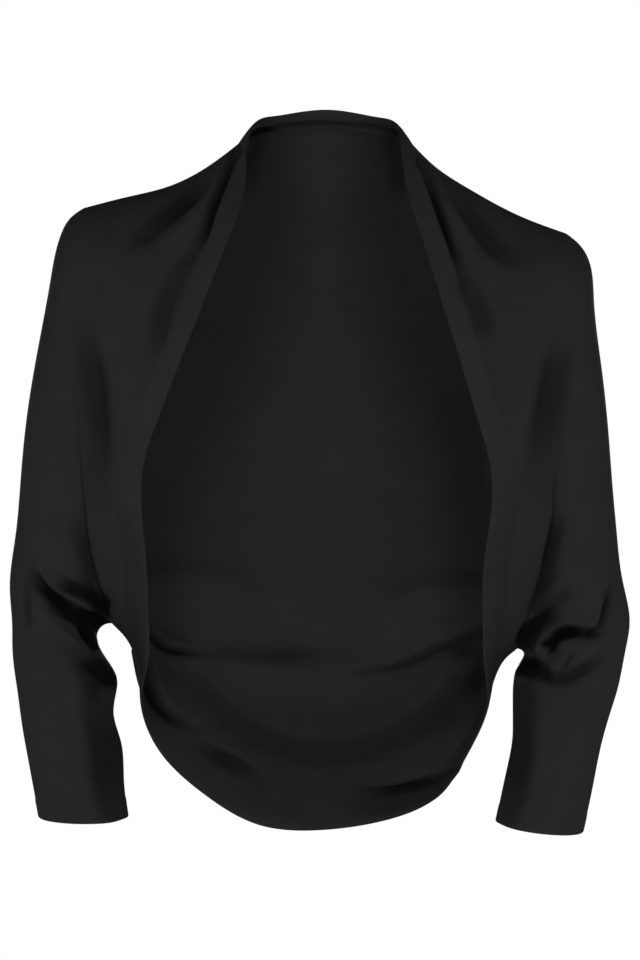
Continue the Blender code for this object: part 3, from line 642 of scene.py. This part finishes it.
def fold_move(fold, x, z):
    """Height, sideways shift in the front view, and painted shade a fold gives to the points at x and z."""
    curve = smooth_line(fold.path)
    along_curve = line_length(curve) / line_length(curve)[-1]
    nearest, where = np.full(x.shape, np.inf), np.zeros(x.shape)
    side, hand_x, hand_z = np.zeros(x.shape), np.zeros(x.shape), np.zeros(x.shape)
    for i in range(len(curve) - 1):
        start, step = curve[i], curve[i + 1] - curve[i]
        long = math.hypot(*step)
        raw = ((x - start[0]) * step[0] + (z - start[1]) * step[1]) / long**2
        along = np.clip(raw, 0, 1)
        off_x, off_z = x - start[0] - along * step[0], z - start[1] - along * step[1]
        distance = np.hypot(off_x, off_z)
        closer = distance < nearest
        nearest = np.where(closer, distance, nearest)
        where = np.where(closer, along_curve[i] + along * (along_curve[i + 1] - along_curve[i]), where)
        side = np.where(closer, (step[0] * (z - start[1]) - step[1] * (x - start[0])) / long, side)
        hand_x, hand_z = np.where(closer, -step[1] / long, hand_x), np.where(closer, step[0] / long, hand_z)
    fade = np.where(where < 0.5, fold.begin, fold.finish)
    fade = fade + (1 - fade) * smooth_step(np.minimum(where, 1 - where) / END_FADE)
    breadth = np.where(side > 0, fold.left, fold.right)
    bell = np.exp(-(nearest / breadth) ** 2)
    height = fold.rise * fade * bell
    # painted shadow of the fold, which later darkens the cloth's colour
    shade = fold.shade * fade * smooth_step((1 + fold.shade) * bell - fold.shade / 2)
    if not fold.lap:
        return height, 0 * x, 0 * z, shade
    lip_hand = 1 if fold.left < fold.right else -1
    narrow = min(fold.left, fold.right)
    past_end = np.maximum(nearest**2 - side**2, 0)
    off_lip = (lip_hand * side - LIP_PLACE * narrow) / (LIP_BREADTH * narrow)
    lip = np.exp(-off_lip**2 - past_end / narrow**2)
    shift = -lip_hand * fold.lap * fade * lip
    return height - LIP_RISE * fold.rise * fade * lip, shift * hand_x, shift * hand_z, shade * (1 - lip)


def press_folds(piece):
    """Move the sheet by every fold that reaches it, and note how much painted shade each skin gets."""
    grid, normal = piece["grid"], piece["normal"]
    x, z, facing = grid[:, :, 0], grid[:, :, 2], -normal[:, :, 1]
    calm = np.ones(x.shape)
    for under_x, under_z in (ARMHOLE[-1].right, ARMHOLE[-1].left):
        calm *= smooth_step(np.hypot(x - under_x, z - under_z) / UNDERARM_CALM)
    moved = np.zeros_like(grid)
    # what each skin keeps of its colour after the folds' painted shade
    light = {"outer": np.ones(x.shape), "inner": np.ones(x.shape)}
    for side, fold in FOLDS:
        sign = 1 if side == "front" else -1
        points = np.array(fold.path)
        reach = REACH * max(fold.left, fold.right)
        low, high = points.min(axis=0) - reach, points.max(axis=0) + reach
        near = (x > low[0]) & (x < high[0]) & (z > low[1]) & (z < high[1]) & (sign * facing > SHADE_START)
        if not near.any():
            continue
        height, shift_x, shift_z, shade = fold_move(fold, x[near], z[near])
        share = calm[near] * smooth_step((sign * facing[near] - FACING_START) / (FACING_END - FACING_START))
        moved[near] += normal[near] * (share * height)[:, None]
        moved[near] += np.stack([shift_x, 0 * shift_x, shift_z], axis=1) * share[:, None]
        seen = smooth_step((sign * facing[near] - SHADE_START) / (SHADE_END - SHADE_START))
        # painted shade, on the skin that the fold is seen from
        light["inner" if side == "inside" else "outer"][near] *= 1 - seen * shade
    piece["grid"] = grid + moved
    piece["hollow"] = {skin: 1 - left for skin, left in light.items()}


for piece in pieces:
    press_folds(piece)
share_normals()
print("folds pressed into", len(pieces), "pieces")

# %% [markdown]
# ## From sheet to cloth
#
# A Blender grid already has the faces of a sheet, so each piece starts as one. Its points carry a number,
# which says where on the sheet they go. Extruding the whole face region and keeping the original gives the
# second skin and the rim in one step; the two skins are then set apart along the normals. A UV map in real
# metres goes with it, so that the knit later follows the cloth. The rim of a sewn border is marked sharp, or
# its shading would show as a bright line along the seam.

# %% Skins
WELD = 0.001 * MM


def skins(piece):
    """The outer and the inner points of a piece's wall."""
    grid, normal = piece["grid"], piece["normal"]
    if "band" in piece["name"]:
        across_band = band_shares if piece["name"].startswith("front") else band_shares[:, None]
        if piece["name"] == "neck_band":
            across_band = across_band[::-1]
        past_start = np.clip((across_band - ROUND_START) / (1 - ROUND_START), 0, 1)
        round_end = np.sqrt(1 - past_start ** 2)
        swell = HALF_CLOTH + (HALF_BAND - HALF_CLOTH) * smooth_step(across_band / SWELL_SHARE)
        crown = BAND_CROWN * np.sin(math.pi * across_band)
        half = np.broadcast_to(swell * round_end, grid.shape[:2]).copy()
        middle = np.broadcast_to(crown, grid.shape[:2])
        grid = grid + normal * middle[:, :, None]
    else:
        half = np.full(grid.shape[:2], HALF_CLOTH)
    if piece["tube"]:
        from_cuff = line_length(grid[:, 0])[-1] - line_length(grid[:, 0])
        half = half + (HEM_THICKER * smooth_step((HEM_DEPTH - from_cuff) / HEM_STEP))[:, None]
        half[-1] *= CUFF_END
    turn = np.zeros(half.shape)
    for border in piece["seams"]:
        rows = {"top": (0, slice(None)), "bottom": (-1, slice(None)),
                "first": (slice(None), 0), "last": (slice(None), -1)}[border]
        turn[rows] = TURN_IN
    outer = grid + normal * (half - turn)[:, :, None]
    inner = grid - normal * (half + turn / 2)[:, :, None]
    return outer * MM, inner * MM


def seam_numbers(piece):
    """The numbers of the points that lie on a sewn border."""
    rows, columns = piece["grid"].shape[:2]
    numbers = np.arange(rows * columns).reshape(rows, columns)
    borders = {"top": numbers[0], "bottom": numbers[-1], "first": numbers[:, 0], "last": numbers[:, -1]}
    return {int(number) for border in piece["seams"] for number in borders[border]}


def real_spread(grid):
    """Where each point lies on the cloth laid flat, in metres across and down."""
    middle_row, third_column = grid.shape[0] // 2, grid.shape[1] // 3
    across, down = line_length(grid[middle_row]), line_length(grid[:, third_column])
    return np.stack(np.meshgrid(across, down), axis=2).reshape(-1, 2) * MM


def cloth_piece(piece):
    """A grid laid on the sheet, doubled into a closed wall."""
    rows, columns = piece["grid"].shape[:2]
    mesh = bmesh.new()
    number = mesh.verts.layers.int.new("number")
    bmesh.ops.create_grid(mesh, x_segments=columns - 1, y_segments=rows - 1, size=1)
    for vert in mesh.verts:
        column = round((vert.co.x + 1) / 2 * (columns - 1))
        row = round((vert.co.y + 1) / 2 * (rows - 1))
        vert[number] = row * columns + column
    spread = real_spread(piece["grid"])
    cloth_map = mesh.loops.layers.uv.new("cloth")
    for face in mesh.faces:
        for loop in face.loops:
            loop[cloth_map].uv = spread[loop.vert[number]]
    outer, inner = (points.reshape(-1, 3) for points in skins(piece))
    # the painted fold shade of each skin is kept on its points for the material
    hollow, skin = mesh.verts.layers.float.new("hollow"), mesh.verts.layers.int.new("skin")
    deep = {name: values.reshape(-1) for name, values in piece["hollow"].items()}
    for vert in mesh.verts:
        vert.co = inner[vert[number]]
        vert[hollow] = deep["inner"][vert[number]]
    bmesh.ops.remove_doubles(mesh, verts=mesh.verts, dist=WELD)
    raised = bmesh.ops.extrude_face_region(mesh, geom=mesh.faces[:], use_keep_orig=True)
    for vert in (item for item in raised["geom"] if isinstance(item, bmesh.types.BMVert)):
        vert.co = outer[vert[number]]
        vert[hollow] = deep["outer"][vert[number]]
        vert[skin] = 1
    bmesh.ops.remove_doubles(mesh, verts=mesh.verts, dist=WELD)
    bmesh.ops.recalc_face_normals(mesh, faces=mesh.faces)
    sewn = seam_numbers(piece)
    for mesh_edge in mesh.edges:
        one, other = mesh_edge.verts
        if one[skin] == other[skin] and one[number] in sewn and other[number] in sewn:
            mesh_edge.smooth = False
    data = bpy.data.meshes.new(piece["name"] + "_cloth")
    mesh.to_mesh(data)
    mesh.free()
    data.shade_smooth()
    cloth = bpy.data.objects.new(piece["name"] + "_cloth", data)
    bpy.context.scene.collection.objects.link(cloth)
    return cloth


cloths = {piece["name"]: cloth_piece(piece) for piece in pieces}
for name, cloth in cloths.items():
    triangles = sum(len(face.vertices) - 2 for face in cloth.data.polygons)
    half_area = sum(face.area for face in cloth.data.polygons) / 2
    print(name, "triangles", triangles, "cloth m2", round(half_area, 4))

# %% [markdown]
# ## The knit
#
# Fine jersey is plain knitting: columns of small V shapes, about seven to the centimetre, with nine courses
# to the centimetre. A node group draws one V and repeats it over the cloth's own map. It gives a height for
# the bump and a valley mask, where the colour gets painted shade between the stitches, and both materials
# use it with their own sizes. Each V has two legs, which slope away from its middle, are round across, and
# dip between one course and the next.

# %% Node group: plain knit
STITCH_WIDE, STITCH_HIGH = 1.5, 1.1
LEG_SLOPE, LEG_ROUND, COURSE_DIP = 1.6, 2.0, 0.6


def new_group(name, inputs, outputs):
    """An empty shader node group with named sockets."""
    group = bpy.data.node_groups.new(name, "ShaderNodeTree")
    for socket, kind, value in inputs:
        made = group.interface.new_socket(socket, in_out="INPUT", socket_type="NodeSocket" + kind)
        if value is not None:
            made.default_value = value
    for socket, kind in outputs:
        group.interface.new_socket(socket, in_out="OUTPUT", socket_type="NodeSocket" + kind)
    return group, group.nodes.new("NodeGroupInput"), group.nodes.new("NodeGroupOutput")


def feed(tree, node, inputs):
    """Link a node's inputs to other nodes' outputs, or set them to plain values."""
    for socket, value in inputs.items():
        if isinstance(value, bpy.types.NodeSocket):
            tree.links.new(value, node.inputs[socket])
        else:
            node.inputs[socket].default_value = value
    return node


def new_node(tree, kind, inputs):
    """A shader node of that kind, already fed."""
    return feed(tree, tree.nodes.new("ShaderNode" + kind), inputs)


def math_node(tree, operation, *values):
    """The output of a Math node that works on those values or outputs."""
    node = new_node(tree, "Math", dict(enumerate(values)))
    node.operation = operation
    return node.outputs[0]


knit, given, result = new_group(
    "plain_knit",
    [("Map", "Vector", None), ("Stitch width", "Float", STITCH_WIDE),
     ("Stitch height", "Float", STITCH_HIGH)],
    [("Height", "Float"), ("Valley", "Float")],
)
split = new_node(knit, "SeparateXYZ", {"Vector": given.outputs["Map"]})
across_mm, down_mm = (math_node(knit, "DIVIDE", split.outputs[axis], MM) for axis in ("X", "Y"))
column = math_node(knit, "DIVIDE", across_mm, given.outputs["Stitch width"])
course = math_node(knit, "DIVIDE", down_mm, given.outputs["Stitch height"])
off_middle = math_node(knit, "ABSOLUTE", math_node(knit, "SUBTRACT", math_node(knit, "FRACT", column), 0.5))
slant = math_node(knit, "ADD", course, math_node(knit, "MULTIPLY", off_middle, LEG_SLOPE))
wave = math_node(knit, "COSINE", math_node(knit, "MULTIPLY", slant, math.tau))
along_leg = math_node(knit, "MULTIPLY_ADD", wave, 0.5, 0.5)
across_leg = math_node(knit, "ABSOLUTE", math_node(knit, "MULTIPLY_ADD", off_middle, 4.0, -1.0))
rib = math_node(knit, "SUBTRACT", 1.0, math_node(knit, "POWER", across_leg, LEG_ROUND))
dip = math_node(knit, "MULTIPLY_ADD", along_leg, COURSE_DIP, 1 - COURSE_DIP)
height = math_node(knit, "MULTIPLY", rib, dip)
# Valley is the mask for painted shade between the stitches
feed(knit, result, {"Height": height, "Valley": math_node(knit, "SUBTRACT", 1.0, height)})
print("knit group nodes:", len(knit.nodes))

# %% [markdown]
# Dyed yarn is never quite even. The second group adds a faint cloudiness and the short level streaks that
# the photograph shows, where one course took the dye a little differently.

# %% Node group: uneven dye
CLOUD_SIZE, STREAK_SIZE, STREAK_FLAT = 22.0, 150.0, (0.22, 0.22, 1.0)
CLOUD_DETAIL, STREAK_DETAIL = 3, 2

dye, given, result = new_group(
    "uneven_dye",
    [("Place", "Vector", None), ("Cloud size", "Float", CLOUD_SIZE), ("Streak size", "Float", STREAK_SIZE)],
    [("Tone", "Float"), ("Fuzz", "Float")],
)
place, cloud_size, streak_size = (given.outputs[name] for name in ("Place", "Cloud size", "Streak size"))
cloud = new_node(dye, "TexNoise", {"Vector": place, "Scale": cloud_size, "Detail": CLOUD_DETAIL})
flat = new_node(dye, "Mapping", {"Vector": place, "Scale": STREAK_FLAT}).outputs["Vector"]
streak = new_node(dye, "TexNoise", {"Vector": flat, "Scale": streak_size, "Detail": STREAK_DETAIL})
half_streak = math_node(dye, "MULTIPLY", streak.outputs["Fac"], 0.5)
tone = math_node(dye, "MULTIPLY_ADD", cloud.outputs["Fac"], 0.5, half_streak)
feed(dye, result, {"Tone": tone, "Fuzz": streak.outputs["Fac"]})
print("dye group nodes:", len(dye.nodes))

# %% [markdown]
# The cloth is near black and matt, with a slight bloom of loose fibres. The colour runs between a deep and a
# worn black by the dye's tone, the stitches' valleys are darker by painted shade, and the knit's height
# feeds the bump. Where a fold's painted shadow was noted on the points, the colour goes towards nothing.
# The steady values, such as the sheen, are set on the shader itself.

# %% Materials
DEEP_BLACK, WORN_BLACK = (0.0158, 0.0160, 0.0167), (0.0254, 0.0256, 0.0266)
# near-black colour that painted fold shade darkens the cloth towards
PAINTED_SHADE_BLACK = (0.001, 0.001, 0.001, 1)
# how far painted shade darkens the stitch valleys
VALLEY_PAINTED_SHADE = 0.25
ROUGH_LEAST, ROUGH_SPREAD = 0.84, 0.12
SHINE, SHEEN, SHEEN_ROUGH = 0.03, 0.01, 0.6
BUMP_STRENGTH, BUMP_DEEP = 0.5, 0.25 * MM
BAND_LIFT = 1.05


def place_group(tree, group, inputs):
    """A material's own node of a group, fed with that material's values."""
    node = tree.nodes.new("ShaderNodeGroup")
    node.node_tree = group
    return feed(tree, node, inputs)


def mix_colours(tree, share, first, second):
    """The output of a Mix node between two colours."""
    node = tree.nodes.new("ShaderNodeMix")
    node.data_type = "RGBA"
    return feed(tree, node, {"Factor": share, "A": first, "B": second}).outputs["Result"]


def jersey_material(name, lift, stitch_wide, stitch_high):
    """Matt black knit: dye, stitches, painted shade in the stitch valleys and folds, and a little sheen."""
    material = bpy.data.materials.new(name)
    material.use_nodes = True
    tree = material.node_tree
    cloth_map = new_node(tree, "UVMap", {})
    cloth_map.uv_map = "cloth"
    sizes = {"Stitch width": stitch_wide, "Stitch height": stitch_high}
    stitches = place_group(tree, knit, {"Map": cloth_map.outputs["UV"], **sizes})
    uneven = place_group(tree, dye, {"Place": new_node(tree, "TexCoord", {}).outputs["Object"]})
    fold_shade_attribute = new_node(tree, "Attribute", {})
    fold_shade_attribute.attribute_name = "hollow"
    valley_shade_mask, tone, fuzz = stitches.outputs["Valley"], uneven.outputs["Tone"], uneven.outputs["Fuzz"]
    deep, worn = ([value * lift for value in black] + [1] for black in (DEEP_BLACK, WORN_BLACK))
    # dye tone, less painted shade in the stitch valleys
    dye_and_valley_shade = mix_colours(tree, math_node(tree, "MULTIPLY_ADD", valley_shade_mask, -VALLEY_PAINTED_SHADE, tone), deep, worn)
    relief = {"Strength": BUMP_STRENGTH, "Distance": BUMP_DEEP, "Height": stitches.outputs["Height"]}
    # the base colour goes towards black where fold shade is painted on the points
    feed(tree, tree.nodes["Principled BSDF"], {
        "Base Color": mix_colours(tree, fold_shade_attribute.outputs["Fac"], dye_and_valley_shade, PAINTED_SHADE_BLACK),
        "Roughness": math_node(tree, "MULTIPLY_ADD", fuzz, ROUGH_SPREAD, ROUGH_LEAST),
        "Normal": new_node(tree, "Bump", relief).outputs["Normal"],
        "Specular IOR Level": SHINE,
        "Sheen Weight": SHEEN,
        "Sheen Roughness": SHEEN_ROUGH,
    })
    return material


jersey = jersey_material("black_jersey", 1.0, STITCH_WIDE, STITCH_HIGH)
band_jersey = jersey_material("black_jersey_doubled", BAND_LIFT, STITCH_HIGH, STITCH_WIDE)
for name, cloth in cloths.items():
    cloth.data.materials.append(band_jersey if "band" in name else jersey)
print("materials:", jersey.name, band_jersey.name)

# %% [markdown]
# ## Putting the cloth on the frame
#
# Nothing on the garment moves, so every piece rides on the one body. Each cloth stands for the solid of its
# own name. The bands are given as folded, which is half the width they are cut to.

# %% Ride and replace
Cut = namedtuple("Cut", "width length area")
for name, cloth in cloths.items():
    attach(cloth, "root")
    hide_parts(name)
print("pieces on the frame:", len(cloths))

# %% [markdown]
# ## Light and floor
#
# The photograph looks lit from both sides of the camera, with a weaker light level with each sleeve, and is
# cut out on white. Black cloth shows little of its form under light from everywhere, so there is hardly any
# fill. A last light behind the garment shows the back. The camera sees the world as white.

# %% Lights, world and floor
Light = namedtuple("Light", "name place wide high power")
LIGHTS = (
    Light("front_right_light", (-1.05, -3.3, 0.0), 1.0, 1.0, 45),
    Light("front_left_light", (1.05, -3.3, 0.0), 1.0, 1.0, 45),
    Light("right_light", (-3.0, 0.3, -0.3), 0.8, 1.4, 22),
    Light("left_light", (3.0, 0.3, -0.3), 0.8, 1.4, 22),
    Light("back_light", (0, 4.0, 0.2), 2.4, 1.2, 100),
)
AIM = (0, 0, -0.3)
FLOOR_Z, FLOOR_RADIUS, FLOOR_SIDES = -1.35, 6.0, 96
FLOOR_PALE, FLOOR_ROUGH = (0.86, 0.86, 0.85, 1), 0.9
WORLD_FILL, WORLD_SEEN = 0.02, 1.0

for row in LIGHTS:
    data = bpy.data.lights.new(row.name, "AREA")
    data.shape, data.size, data.size_y, data.energy = "RECTANGLE", row.wide, row.high, row.power
    light = bpy.data.objects.new(row.name, data)
    light.location = row.place
    aim = [goal - start for goal, start in zip(AIM, row.place)]
    turn = math.atan2(-aim[0], aim[1])
    tilt = math.atan2(math.hypot(aim[0], aim[1]), -aim[2])
    light.rotation_euler = (tilt, 0, turn)
    bpy.context.scene.collection.objects.link(light)

world = bpy.data.worlds.new("studio")
bpy.context.scene.world = world
world.use_nodes = True
tree = world.node_tree
by_camera = new_node(tree, "LightPath", {}).outputs["Is Camera Ray"]
strength = math_node(tree, "MULTIPLY_ADD", by_camera, WORLD_SEEN - WORLD_FILL, WORLD_FILL)
feed(tree, tree.nodes["Background"], {"Color": (1, 1, 1, 1), "Strength": strength})

floor_mesh = bmesh.new()
bmesh.ops.create_circle(floor_mesh, cap_ends=True, radius=FLOOR_RADIUS, segments=FLOOR_SIDES)
bmesh.ops.translate(floor_mesh, verts=floor_mesh.verts, vec=(0, 0, FLOOR_Z))
floor_data = bpy.data.meshes.new("floor")
floor_mesh.to_mesh(floor_data)
floor_mesh.free()
floor = bpy.data.objects.new("floor", floor_data)
pale = bpy.data.materials.new("pale_floor")
pale.use_nodes = True
pale_shader = pale.node_tree.nodes["Principled BSDF"]
feed(pale.node_tree, pale_shader, {"Base Color": FLOOR_PALE, "Roughness": FLOOR_ROUGH})
floor_data.materials.append(pale)
bpy.context.scene.collection.objects.link(floor)
print("lights:", len(LIGHTS))
